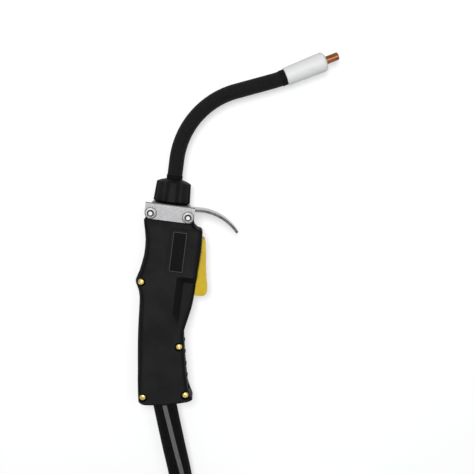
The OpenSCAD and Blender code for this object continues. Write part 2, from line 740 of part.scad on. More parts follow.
module bracket_nuts() color("gainsboro") gun() at_bracket_screws()
    translate([0, 0, bracket_out + washer_t]) difference() {
        rotate([0, 0, 15]) hex(hex_flats, hex_h);
        translate([0, 0, -over]) cylinder(h = hex_h + 2 * over, r = bracket_screw_d / 2 + fit);
    }

// ---- handle

cavity_rows = [for (s = stations) if (s[0] < top_wall_foot - 4 && s[0] > cavity_foot) s];
function cavity_outline(inset) = concat(
    [[stations[0][1] + wall, top_wall_foot]],
    [[stations[0][3] - wall, top_wall_foot]],
    [for (s = cavity_rows) [s[3] - wall, s[2]]],
    [for (i = [len(cavity_rows) - 1 : -1 : 0]) let (s = cavity_rows[i])
        [s[1] + wall + inset * flank_share(s[0]), s[0]]]);

module cavity() difference() {
    union() {
        linear_extrude(2 * scoop_cavity_half, center = true) polygon(cavity_outline(0));
        difference() {
            linear_extrude(2 * cavity_half, center = true) polygon(cavity_outline(flank_inset));
            translate([scoop_cavity_x, grip_from, -handle_half])
                cube([2 * handle_half, scoop_from - grip_from, 2 * handle_half]);
        }
    }
    for (p = handle_screws_at) translate([p[0], p[1], -handle_half])
        cylinder(h = 2 * handle_half, r = screw_boss_r);
    at_bracket_screws() translate([0, 0, -handle_half])
        cylinder(h = 2 * handle_half, r = boss_r);
    for (side = [0, 1]) mirror([0, 0, side]) {
        translate([trigger_axis[0], trigger_axis[1], trigger_w / 2 + 1])
            cylinder(h = handle_half, r = trigger_pin_d / 2 + 1.8);
        for (y = switch_pins_y) translate([switch_pin_x, y, switch_t / 2 + gap])
            cylinder(h = handle_half, r = 3);
    }
}

module pad_shape() {
    c = pad_corner;
    polygon([[pad[0] + c, pad[1]], [pad[2], pad[1]], [pad[2], pad[3] - c], [pad[2] - c, pad[3]],
        [pad[0] + c, pad[3]], [pad[0], pad[3] - c], [pad[0], pad[1] + c]]);
}

module handle_half_shell() difference() {
    union() {
        loft(handle_rings);
        translate([0, 0, handle_half - 1]) linear_extrude(1 + pad_h) pad_shape();
        for (y = ribs_at)
            translate([lookup(y, [for (j = [len(stations) - 1 : -1 : 0]) [stations[j][2], stations[j][3]]])
                - rib_r + grip_rib_h, y, 0]) cylinder(h = rib_half, r = rib_r);
    }
    cavity();
    along_neck(-2 * handle_half) cylinder(h = 3 * handle_half, r = barrel_d / 2 + gap);
    along_cable(cable_held - 20) cylinder(h = 30, r = cable_d / 2 + gap);
    translate([trigger_slot[0], trigger_slot[1], -trigger_w / 2 - 0.4])
        cube([trigger_slot[2] - trigger_slot[0], trigger_slot[3] - trigger_slot[1], trigger_w + 0.8]);
    translate([trigger_axis[0], trigger_axis[1], 0])
        cylinder(h = pin_reach + gap, r = trigger_pin_d / 2 + fit);
    for (y = switch_pins_y) translate([switch_pin_x, y, 0])
        cylinder(h = switch_pin_reach + gap, r = trigger_pin_d / 2 + fit);
    at_bracket_screws() cylinder(h = 2 * handle_half, r = bracket_screw_d / 2 + fit);
    for (p = handle_screws_at) translate([p[0], p[1], -over])
        cylinder(h = 2 * handle_half, r = handle_screw_d / 2 + fit);
}

module label_box(grow, from, height) translate([label_at[0] - label_w / 2 - grow,
    label_at[1] - label_len / 2 - grow, from])
    cube([label_w + 2 * grow, label_len + 2 * grow, height]);

module handle_front() color("#242426") gun() difference() {
    union() {
        handle_half_shell();
        label_box(label_rim + 0.1, handle_half, pad_h + frame_h);
    }
    label_box(0.1, handle_half + pad_h - label_sink, 2 * label_sink + frame_h);
    for (p = handle_screws_at) translate([p[0], p[1], head_seat])
        cylinder(h = handle_half, r = screw_well_d / 2);
}

module handle_back() color("#242426") gun() difference() {
    mirror([0, 0, 1]) handle_half_shell();
    for (p = handle_screws_at) translate([p[0], p[1], -nut_seat - handle_half])
        rotate([0, 0, 30]) hex(handle_nut_flats + 2 * gap, handle_half);
}

module label_plate() color("#101010") gun()
    label_box(0, handle_half + pad_h - label_sink, label_t);

module handle_screws() color("goldenrod") gun() for (p = handle_screws_at)
    translate([p[0], p[1], 0]) difference() {
        r = handle_head_d / 2;
        union() {
            translate([0, 0, -nut_seat - handle_nut_h - 0.4])
                cylinder(h = head_seat + nut_seat + handle_nut_h + 1, r = handle_screw_d / 2);
            translate([0, 0, head_seat + 0.02]) rotate_extrude() polygon(concat([[0, 0], [r, 0]],
                [for (a = [0 : 15 : 75]) [r * cos(a), 0.5 + 1.7 * sin(a)]], [[0, 2.2]]));
        }
        translate([0, 0, head_seat + 1.5]) for (a = [30, 120]) rotate([0, 0, a])
            translate([-1.5, -0.4, 0]) cube([3, 0.8, 2]);
    }

module handle_nuts() color("goldenrod") gun() for (p = handle_screws_at)
    translate([p[0], p[1], -nut_seat - handle_nut_h - 0.02]) difference() {
        rotate([0, 0, 30]) hex(handle_nut_flats, handle_nut_h);
        translate([0, 0, -over]) cylinder(h = handle_nut_h + 2 * over, r = handle_screw_d / 2 + fit);
    }

// ---- trigger and switch

module trigger() color("gold") gun() difference() {
    union() {
        translate([0, 0, -trigger_w / 2]) linear_extrude(trigger_w) union() {
            polygon(concat([[trigger_inner_x, trigger_foot],
                [trigger_inner_x, trigger_axis[1]], [trigger_axis[0], trigger_axis[1] + trigger_hub_r]],
                trigger_outer));
            translate(trigger_axis) circle(trigger_hub_r);
        }
        translate([plunger_reach + 0.3, plunger_y - 2.5, -4])
            cube([trigger_inner_x - plunger_reach, 5, 8]);
        translate([trigger_inner_x - 1, ear_foot, -trigger_w / 2 - ear_w])
            cube([3, ear_top - ear_foot, trigger_w + 2 * ear_w]);
    }
    translate([trigger_axis[0], trigger_axis[1], -trigger_w])
        cylinder(h = 2 * trigger_w, r = trigger_pin_d / 2 + fit);
}

module trigger_pin() color("gainsboro") gun()
    translate([trigger_axis[0], trigger_axis[1], -pin_reach])
        cylinder(h = 2 * pin_reach, r = trigger_pin_d / 2);

module trigger_spring() color("gainsboro") gun() {
    seat = switch_box[3] + 0.1;
    leaf = 0.5;
    tip = [trigger_inner_x - 0.4, seat + 7];
    translate([0, 0, -4]) linear_extrude(8) polygon([[switch_box[0] + 1, seat],
        [switch_box[2] - 1, seat], tip, tip + [-leaf, 0.3],
        [switch_box[2] - 1.2, seat + leaf], [switch_box[0] + 1, seat + leaf]]);
}

module switch_body() color("#303030") gun() difference() {
    translate([switch_box[0], switch_box[1], -switch_t / 2])
        cube([switch_box[2] - switch_box[0], switch_box[3] - switch_box[1], switch_t]);
    translate([plunger_inset - 0.5 - trigger_reach(), plunger_y, 0]) rotate([0, 90, 0])
        cylinder(h = 2 * plunger_inset, r = plunger_d / 2 + fit);
    for (y = switch_pins_y) translate([switch_pin_x, y, -switch_t])
        cylinder(h = 2 * switch_t, r = trigger_pin_d / 2 + fit);
}

// How far the plunger goes in when the trigger is pulled fully
function trigger_reach() = (trigger_axis[1] - plunger_y) * trigger_travel * PI / 180;

module switch_plunger() color("firebrick") gun()
    translate([plunger_inset, plunger_y, 0]) rotate([0, 90, 0])
        cylinder(h = plunger_reach - plunger_inset, r = plunger_d / 2);

module switch_terminals() color("silver") gun() for (y = terminal_y)
    translate([switch_box[0] - terminal_len - 0.02, y - 0.4, -2.4]) cube([terminal_len, 0.8, 4.8]);

module switch_pins() color("gainsboro") gun() for (y = switch_pins_y)
    translate([switch_pin_x, y, -switch_pin_reach])
        cylinder(h = 2 * switch_pin_reach, r = trigger_pin_d / 2);

// The two leads run from the terminals down beside the conductor to the cable's jacket
module switch_leads() color("dimgray") gun() {
    jacket_face = held_start + leads_beside * [cos(cable_angle), sin(cable_angle)] - 0.1 * cable_dir;
    above_face = jacket_face - leads_straight * cable_dir;
    leads_x = switch_box[0] - terminal_len / 2 - 0.4;
    for (side = [0, 1]) let (z = leads_apart * (0.5 - side), top = terminal_y[side] - 0.5)
        tube([[leads_x, top, z], [leads_x, top - leads_straight, z], [leads_x, leads_turn, z],
            [above_face[0], above_face[1], z], [jacket_face[0], jacket_face[1], z]],
            leads_r, tube_sides);
}

// ---- current path

module power_block() color("darkgoldenrod") gun() difference() {
    translate([-block_w / 2, block_foot, -block_w / 2]) cube([block_w, block_len, block_w]);
    along_neck(tube_foot - 0.4) cylinder(h = block_len, r = conductor_d / 2 + fit);
    along_neck(block_foot - over)
        cylinder(h = ferrule_top + 0.1 - block_foot + over, r = core_d / 2 + ferrule_wall + fit);
    for (y = [block_top - 7, block_foot + 5]) translate([0, y, conductor_d / 2 - over])
        cylinder(h = block_w, r = 2.5 + fit);
}

module block_screws() color("dimgray") gun()
    for (y = [block_top - 7, block_foot + 5]) translate([0, y, core_d / 2 + ferrule_wall + 0.1])
        difference() {
            cylinder(h = block_w / 2 - core_d / 2 - ferrule_wall, r = 2.5);
            translate([0, 0, 2]) hex(2.5, block_w);
        }

module cable_ferrule() color("peru") gun() along_neck(ferrule_foot)
    ring(core_d / 2 + ferrule_wall, core_d / 2 + fit, ferrule_top - ferrule_foot);

module cable_core() color("peru") gun() translate([0, core_bend_y, 0]) {
    along_neck(0) cylinder(h = ferrule_top - core_bend_y, r = core_d / 2);
    translate([core_bend_r, 0, 0]) rotate([0, 0, 180])
        rotate_extrude(angle = cable_angle) translate([core_bend_r, 0]) circle(core_d / 2);
}

module cable_end() color("#181818") gun()
    along_cable(0) cylinder(h = cable_held, r = cable_d / 2);

module cable_clamp() color("gray") gun()
    along_cable(clamp_from) ring(cable_d / 2 + 2.2, cable_d / 2 + fit, clamp_w);

// ---- free cable

module cable_lead() color("#181818") gun() tube(lead_points, cable_d / 2, tube_sides);

module cable_coil() color("#181818") gun() tube(coil_points, cable_d / 2, coil_sides);

module cable_tail() color("#181818") gun() tube(tail_points, cable_d / 2, tube_sides);

module band_shape(w, h, corner) polygon([[corner, 0], [w - corner, 0], [w, corner],
    [w, h - corner], [w - corner, h], [corner, h], [0, h - corner], [0, corner]]);

module coil_ties() color("#303030") gun() for (angle = tie_angles) {
    near = min(turns_at(angle)) - cable_d / 2 - gap;
    wide = max(turns_at(angle)) + cable_d / 2 + gap - near;
    tall = layer_step + cable_d + 2 * gap;
    translate([coil_centre[0], coil_centre[1], coil_low - cable_d / 2 - gap])
        rotate([0, 0, angle]) translate([near, tie_w / 2, 0]) rotate([90, 0, 0])
            linear_extrude(tie_w) difference() {
                translate([-tie_t, -tie_t])
                    band_shape(wide + 2 * tie_t, tall + 2 * tie_t, tie_corner + tie_t / 2);
                band_shape(wide, tall, tie_corner);
            }
}

// ---- rear connector

module plug_boot() color("#202020") gun() difference() {
    union() {
        along_plug(boot_from) rotate_extrude() polygon([[0, 0], [boot_small_r, 0],
            [boot_wide_r, boot_len - boot_collar], [boot_wide_r, boot_len], [0, boot_len]]);
        for (u = [boot_from + boot_rib_pitch : boot_rib_pitch : boot_to - 2 * boot_collar])
            along_plug(u) cylinder(h = boot_rib_w,
                r = mix(boot_small_r, boot_wide_r, (u - boot_from) / boot_len) + boot_rib_h);
    }
    along_plug(boot_from - over) cylinder(h = over - boot_from, r = cable_d / 2 + gap);
    along_plug(-over) cylinder(h = boot_to + 2 * over, r = core_d / 2 + gap);
}

module housing_solid() difference() {
    along_plug(housing_from) rotate_extrude() polygon([[0, 0],
        [boot_wide_r - 1, 0], [housing_d / 2, housing_taper],
        [housing_d / 2, groove_from], [housing_d / 2 - groove_depth, groove_from + groove_depth],
        [housing_d / 2 - groove_depth, groove_from + groove_w - groove_depth],
        [housing_d / 2, groove_from + groove_w],
        [housing_d / 2, housing_len - 1], [housing_d / 2 - 1, housing_len], [0, housing_len]]);
    along_plug(housing_from + housing_wall)
        cylinder(h = carrier_from - housing_from - housing_wall - 2, r = core_room_r);
    along_plug(carrier_from - gap) cylinder(h = housing_len, r = carrier_r + fit);
    along_plug(housing_from - over) cylinder(h = 2 * housing_len, r = pin_root_r + fit);
    for (x = plug_screws_x, side = [-1, 1])
        translate(plug_at + [x, side * plug_screw_y, -housing_d])
            cylinder(h = 2 * housing_d, r = plug_screw_r + fit);
    for (x = plug_screws_x, side = [-1, 1])
        translate(plug_at + [x, side * plug_screw_y, plug_screw_seat])
            cylinder(h = housing_d, r = plug_well_r);
}

module plug_half(side) intersection() {
    housing_solid();
    translate(plug_at + [housing_from - over, -housing_d, side > 0 ? 0 : -housing_d])
        cube([housing_len + 2 * over, 2 * housing_d, housing_d]);
}

module plug_housing_top() color("#26282a") gun() plug_half(1);

module plug_housing_base() color("#26282a") gun() plug_half(-1);

module plug_screws() color("gray") gun() for (x = plug_screws_x, side = [-1, 1])
    translate(plug_at + [x, side * plug_screw_y, 0]) {
        translate([0, 0, -plug_screw_reach])
            cylinder(h = plug_screw_seat + plug_screw_reach + 0.5, r = plug_screw_r);
        translate([0, 0, plug_screw_seat + 0.02]) difference() {
            cylinder(h = 1.8, r = plug_well_r - 0.3);
            translate([-plug_well_r, -0.4, 1]) cube([2 * plug_well_r, 0.8, 2]);
        }
    }

module plug_conductor() color("peru") gun()
    along_plug(0.1) cylinder(h = core_from + core_socket - 0.2, r = core_d / 2);

module plug_core() color("darkgoldenrod") gun() difference() {
    along_plug(core_from) cylinder(h = pin_root - core_from - 0.1, r = core_room_r - gap);
    along_plug(core_from - over) cylinder(h = core_socket + over, r = core_d / 2 + fit);
    along_plug(core_from) cylinder(h = housing_len, r = liner_d / 2 + fit);
}

module plug_carrier() color("#3a3a3c") gun() difference() {
    union() {
        along_plug(carrier_from) cylinder(h = carrier_to - carrier_from, r = carrier_r);
        along_plug(flange_from) cylinder(h = 2.4, r = carrier_r + 2.6);
    }
    along_plug(carrier_from - over)
        cylinder(h = carrier_to - carrier_from + 2 * over, r = pin_root_r + fit);
    at_control_pins() translate([0, 0, carrier_to - control_well])
        cylinder(h = control_well + over, r = control_pin_d / 2 + fit);
}

module at_control_pins() for (side = [-1, 1])
    along_plug(0) translate([0, side * control_offset, 0]) children();

module plug_pin() color("goldenrod") gun()
    along_plug(0) rotate_extrude() polygon([[liner_bore / 2, pin_root], [pin_root_r, pin_root],
        [pin_root_r, carrier_to + gap], [plug_pin_d / 2, carrier_to + gap],
        [plug_pin_d / 2, pin_tip - 2], [plug_pin_d / 2 - 1.5, pin_tip], [liner_bore / 2, pin_tip]]);

module control_pins() color("goldenrod") gun() at_control_pins()
    translate([0, 0, carrier_to - control_well + control_travel + gap])
        cylinder(h = control_pin_len, r = control_pin_d / 2);

module coupling_nut() color("#2a2c2e") gun() difference() {
    along_plug(coupling_from) rotate_extrude() polygon([[0, 0], [coupling_d / 2 - coupling_edge, 0],
        [coupling_d / 2, coupling_edge], [coupling_d / 2, coupling_len - coupling_edge],
        [coupling_d / 2 - coupling_edge, coupling_len], [0, coupling_len]]);
    along_plug(coupling_from - over) cylinder(h = 2 * coupling_len, r = carrier_r + 0.1);
    along_plug(coupling_from + coupling_back) cylinder(h = 2 * coupling_len, r = coupling_bore);
    for (i = [0 : coupling_flutes - 1])
        along_plug(coupling_from + coupling_edge + 1) rotate([0, 0, 360 / coupling_flutes * i])
            translate([(coupling_d + flute_r) / 2, 0, 0]) cylinder(h = coupling_len, r = flute_r);
}

contact_tip();
tip_holder();
nozzle_insulator();
neck_end_ring();
neck_jacket();
neck_tube();
neck_liner();
neck_collar();
neck_nut();
neck_socket();
shield_bracket();
hand_shield();
bracket_screws();
bracket_washers();
bracket_nuts();
handle_front();
handle_back();
label_plate();
handle_screws();
handle_nuts();
trigger();
trigger_pin();
trigger_spring();
switch_body();
switch_plunger();
switch_terminals();
switch_pins();
switch_leads();
power_block();
block_screws();
cable_ferrule();
cable_core();
cable_end();
cable_clamp();
cable_lead();
cable_coil();
cable_tail();
coil_ties();
plug_boot();
plug_housing_top();
plug_housing_base();
plug_screws();
plug_conductor();
plug_core();
plug_carrier();
plug_pin();
control_pins();
coupling_nut();
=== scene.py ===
"""Welding torch lying on its side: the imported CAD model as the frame, dressed for the photograph.

Lengths are in millimetres in the gun's own axes, as in the part's source: the neck's foot
runs along +Y, the trigger faces +X and the handle's halves part at z = 0. at() turns such a
place into the row frame, in metres. What else is in metres says so.
"""
import json
import math

import bpy
from mathutils import Matrix, Vector


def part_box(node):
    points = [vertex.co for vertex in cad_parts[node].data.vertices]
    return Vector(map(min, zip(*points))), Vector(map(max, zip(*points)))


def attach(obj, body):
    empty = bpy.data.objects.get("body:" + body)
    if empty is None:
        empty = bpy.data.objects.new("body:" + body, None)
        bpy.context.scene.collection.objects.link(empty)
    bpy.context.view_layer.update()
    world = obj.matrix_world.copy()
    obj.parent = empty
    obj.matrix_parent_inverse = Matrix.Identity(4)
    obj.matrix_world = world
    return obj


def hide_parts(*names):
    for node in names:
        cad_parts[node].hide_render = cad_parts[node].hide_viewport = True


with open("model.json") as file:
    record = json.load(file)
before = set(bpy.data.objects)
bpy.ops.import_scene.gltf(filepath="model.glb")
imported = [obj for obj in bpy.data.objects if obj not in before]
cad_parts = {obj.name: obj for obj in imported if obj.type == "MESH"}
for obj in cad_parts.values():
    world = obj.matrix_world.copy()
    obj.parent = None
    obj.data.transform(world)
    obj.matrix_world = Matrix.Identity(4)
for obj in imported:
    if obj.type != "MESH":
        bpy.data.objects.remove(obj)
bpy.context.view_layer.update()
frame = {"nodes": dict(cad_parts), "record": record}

MM = 0.001
ORIGIN = Vector((-59.6983, 19.4, 23.4))


def at(x, y, z=0.0):
    """A place of the gun's axes, in millimetres, as a point of the row frame."""
    return (Vector((x, y, z)) + ORIGIN) * MM


# ---- camera

PHOTO_WIDTH = 474
FOCAL_PIXELS = 755.9
SENSOR_WIDTH = 36.0
NEAREST_SEEN = 10.0
CAMERA_AT = (20.75, 54.45, 750.0)
CAMERA_AIM = (68.85, -27.05, 0.0)
IMAGE_UP = Vector((-0.1305, 0.9914, 0.0))


def add_camera():
    """The photograph's camera, which looks down on the torch with IMAGE_UP as its up."""
    data = bpy.data.cameras.new("photo_camera")
    data.sensor_width = SENSOR_WIDTH
    data.lens = SENSOR_WIDTH * FOCAL_PIXELS / PHOTO_WIDTH
    data.clip_start = NEAREST_SEEN * MM
    camera = bpy.data.objects.new("photo_camera", data)
    bpy.context.scene.collection.objects.link(camera)
    ahead = (at(*CAMERA_AIM) - at(*CAMERA_AT)).normalized()
    right = ahead.cross(IMAGE_UP).normalized()
    up = right.cross(ahead)
    camera.matrix_world = Matrix((right, up, -ahead)).transposed().to_4x4()
    camera.location = at(*CAMERA_AT)
    bpy.context.scene.camera = camera


# ---- mesh tools

def add_mesh(name, points, faces, uvs=None, smooth=True):
    """A mesh object of the row frame; uvs has one pair for each corner of each face."""
    mesh = bpy.data.meshes.new(name)
    mesh.from_pydata([tuple(p) for p in points], [], faces)
    if uvs:
        layer = mesh.uv_layers.new(name="along")
        layer.data.foreach_set("uv", [value for pair in uvs for value in pair])
    mesh.polygons.foreach_set("use_smooth", [smooth] * len(faces))
    mesh.update()
    piece = bpy.data.objects.new(name, mesh)
    bpy.context.scene.collection.objects.link(piece)
    return piece


def rings_along(path, radius, sides):
    """Rings of points round a path in metres, carried along it without twist from the top."""
    up = Vector((0, 0, 1))
    rings = []
    for i, place in enumerate(path):
        ahead = (path[min(i + 1, len(path) - 1)] - path[max(i - 1, 0)]).normalized()
        up = (up - ahead * up.dot(ahead)).normalized()
        side = up.cross(ahead)
        rings.append([
            place + radius * (math.cos(t) * up + math.sin(t) * side)
            for t in (2 * math.pi * k / sides for k in range(sides))
        ])
    return rings


def add_tube(name, path, radius, sides):
    """A closed tube along a path in metres. Its u runs once round, and its v counts girths."""
    rings = rings_along(path, radius, sides)
    round_length = 2 * math.pi * radius
    travelled = [0.0]
    for a, b in zip(path, path[1:]):
        travelled.append(travelled[-1] + (b - a).length / round_length)
    faces, uvs = [], []
    for i in range(len(path) - 1):
        for k in range(sides):
            after = (k + 1) % sides
            faces.append((i * sides + k, i * sides + after,
                          (i + 1) * sides + after, (i + 1) * sides + k))
            uvs += [(k / sides, travelled[i]), ((k + 1) / sides, travelled[i]),
                    ((k + 1) / sides, travelled[i + 1]), (k / sides, travelled[i + 1])]
    for ring, order in ((0, -1), (len(path) - 1, 1)):
        faces.append([ring * sides + k for k in range(sides)][::order])
        uvs += [(0.5, travelled[ring])] * sides
    return add_mesh(name, [p for ring in rings for p in ring], faces, uvs)


def smooth_path(points, spacing):
    """A curve (Catmull-Rom) through points in metres, cut about every spacing metres."""
    ends = [2 * points[0] - points[1]] + points + [2 * points[-1] - points[-2]]
    path = []
    for a, b, c, d in zip(ends, ends[1:], ends[2:], ends[3:]):
        steps = max(1, round((c - b).length / spacing))
        for step in range(steps):
            t = step / steps
            path.append(0.5 * (2 * b + (c - a) * t + (2 * a - 5 * b + 4 * c - d) * t ** 2
                               + (3 * b - a - 3 * c + d) * t ** 3))
    return path + [points[-1]]


def steps_of(length, spacing):
    """Shares of a length from 0, short of 1, about spacing apart."""
    count = max(1, round(length / spacing))
    return [i / count for i in range(count)]


def ease(t):
    """0 to 1 as t goes from 0 to 1, with a soft start and end."""
    t = min(1.0, max(0.0, t))
    return t * t * (3 - 2 * t)


def mix(a, b, t):
    return a + (b - a) * t


# ---- the cable's route, as in the part's source

CABLE_D = 23.5
CABLE_SIDES = 36
CABLE_ANGLE = math.radians(18.4)
CABLE_EXIT = Vector((15.6934, -198.955, 0.0))
CABLE_DIR = Vector((math.sin(CABLE_ANGLE), -math.cos(CABLE_ANGLE), 0.0))
CABLE_STRAIGHT = 22.0   # length of the straight stretches before and after the coil
ROUTE_SPACING = 5.0

# x, y counted from CORD_Y, and how much of the way is done: down to the coil's low layer on
# the lead, and up from its high layer to the connector on the tail.
CORD_Y = -200.0
LEAD_ROUTE = [
    (26, -30, 0.03), (33, -51, 0.15), (40, -71.5, 0.36),
    (45.5, -88.5, 0.55), (54, -108.5, 0.77), (66, -126.5, 0.93),
]
TAIL_ROUTE = [
    (-118.5, -324.5, 0.03), (-131, -301, 0.12), (-137, -275, 0.25), (-137, -249, 0.4),
    (-130.5, -223, 0.57), (-118, -200, 0.72), (-100.5, -180, 0.86), (-78.5, -165, 0.95),
    (-54, -156, 1), (-28, -152.5, 1), (-6, -152.5, 1),
]

COIL_CENTRE = (6.0, CORD_Y - 258)
COIL_OUTER = 139.0
COIL_PITCH = 24.5
COIL_TURNS = 1.75   # of each layer
COIL_START = math.radians(48.0)
COIL_CLIMB = 0.5   # the turns that it takes from one layer to the other
COIL_LOW = -10.25
COIL_HIGH = 13.75
COIL_RINGS = 48   # for each turn
PLUG_HEIGHT = 43.7


def coil_angle(turns):
    return COIL_START - 2 * math.pi * turns


def coil_heading(turns):
    a = coil_angle(turns)
    return Vector((math.sin(a), -math.cos(a), 0.0))


def coil_point(turns):
    """A point of the coil: in on its low layer, up, and out again on its high one."""
    a = coil_angle(turns)
    r = COIL_OUTER - COIL_PITCH * (COIL_TURNS - abs(turns - COIL_TURNS))
    climbed = ease((turns - COIL_TURNS + COIL_CLIMB / 2) / COIL_CLIMB)
    return Vector((COIL_CENTRE[0] + r * math.cos(a), COIL_CENTRE[1] + r * math.sin(a),
                   mix(COIL_LOW, COIL_HIGH, climbed)))


def cable_path():
    """The cable's centre line from the handle to the rear connector, in the row frame."""
    steps = int(2 * COIL_TURNS * COIL_RINGS)
    coil = [coil_point(i / COIL_RINGS) for i in range(steps + 1)]
    way_in, way_out = coil_heading(0), coil_heading(2 * COIL_TURNS)
    coil_in = coil[0] - CABLE_STRAIGHT * way_in
    coil_out = coil[-1] + CABLE_STRAIGHT * way_out
    lead = [CABLE_EXIT, CABLE_EXIT + CABLE_D / 2 * CABLE_DIR]
    lead += [Vector((x, CORD_Y + y, sunk * COIL_LOW)) for x, y, sunk in LEAD_ROUTE]
    lead += [coil_in - CABLE_D / 2 * way_in, coil_in]
    tail = [coil_out, coil_out + CABLE_D / 2 * way_out]
    tail += [Vector((x, CORD_Y + y, mix(COIL_HIGH, PLUG_HEIGHT, risen)))
             for x, y, risen in TAIL_ROUTE]
    return (smooth_path([at(*p) for p in lead], ROUTE_SPACING * MM) + [at(*p) for p in coil]
            + smooth_path([at(*p) for p in tail], ROUTE_SPACING * MM))


def add_cable():
    """The power cable as one round tube on the torch, in place of the CAD cable's pieces, which it
    hides.
    """
    path = cable_path()
    cable = add_tube("power_cable", path, CABLE_D / 2 * MM, CABLE_SIDES)
    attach(cable, "torch")
    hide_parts("cable_lead", "cable_coil", "cable_tail")
    return cable


# ---- the neck's centre line, as in the part's source

NECK_FOOT = 41.3
BEND_R = 80.0
BEND = math.radians(67.3)
REVERSE_R = 123.0
REVERSE = math.radians(6.5)
NECK_REACH = 94.9
JACKET_FOOT = -2.0
JACKET_D = 14.8
SLEEVE_SIDES = 48
SLEEVE_SPACING = 1.5


def heading(a):
    return Vector((math.sin(a), math.cos(a), 0.0))


def left_of(a):
    return Vector((-math.cos(a), math.sin(a), 0.0))


def swing(radius, a, b):
    """The way over an arc whose heading goes from a to b; a radius below 0 bends to the left."""
    return radius * (left_of(b) - left_of(a))


def straight(start, end):
    """Points from start towards end, short of it."""
    return [start.lerp(end, t) for t in steps_of((end - start).length, SLEEVE_SPACING)]


def arc(start, radius, a, b):
    """Points from start over an arc whose heading goes from a to b, short of its end."""
    return [start + swing(radius, a, mix(a, b, t))
            for t in steps_of(abs(radius * (b - a)), SLEEVE_SPACING)]


def neck_path():
    """The neck's centre line from inside its nut to its front end, in the row frame."""
    last = BEND - REVERSE
    foot = Vector((0, JACKET_FOOT, 0))
    bend_start = Vector((0, NECK_FOOT, 0))
    bend_end = bend_start + swing(BEND_R, 0, BEND)
    reverse = swing(-REVERSE_R, BEND, last)
    middle = (NECK_REACH - bend_end.x - reverse.x) / math.sin(BEND)
    reverse_start = bend_end + middle * heading(BEND)
    places = straight(foot, bend_start) + arc(bend_start, BEND_R, 0, BEND)
    places += straight(bend_end, reverse_start) + arc(reverse_start, -REVERSE_R, BEND, last)
    return [at(*p) for p in places + [reverse_start + reverse]]


def add_neck_sleeve():
    """The neck's braided jacket as one round tube."""
    sleeve = add_tube("neck_sleeve", neck_path(), JACKET_D / 2 * MM, SLEEVE_SIDES)
    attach(sleeve, "neck")
    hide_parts("neck_jacket")
    return sleeve


# ---- material tools

def tone(red, green, blue):
    """A colour as seen on a screen, 0 to 255, as shader numbers."""
    def linear(c):
        c /= 255
        return c / 12.92 if c <= 0.04045 else ((c + 0.055) / 1.055) ** 2.4
    return (linear(red), linear(green), linear(blue), 1.0)


def lit(colour, share):
    """A lighter or darker shade of a shader colour."""
    return tuple(min(1.0, c * share) for c in colour[:3]) + (1.0,)


GRAIN_SPAN = (0.3, 0.7)    # where most values of a noise lie
WORN_REACH = 0.5
WORN_SPAN = (0.94, 0.76)   # cosine of the turn where wear begins, and where it is full
CORNER_REACH = 12.0
OPEN_SPAN = (0.5, 0.98)    # share of open air that counts as shut in, and as open
LEVEL_SPAN = (0.66, 0.99)  # z of the normal that counts as a flank, and as level


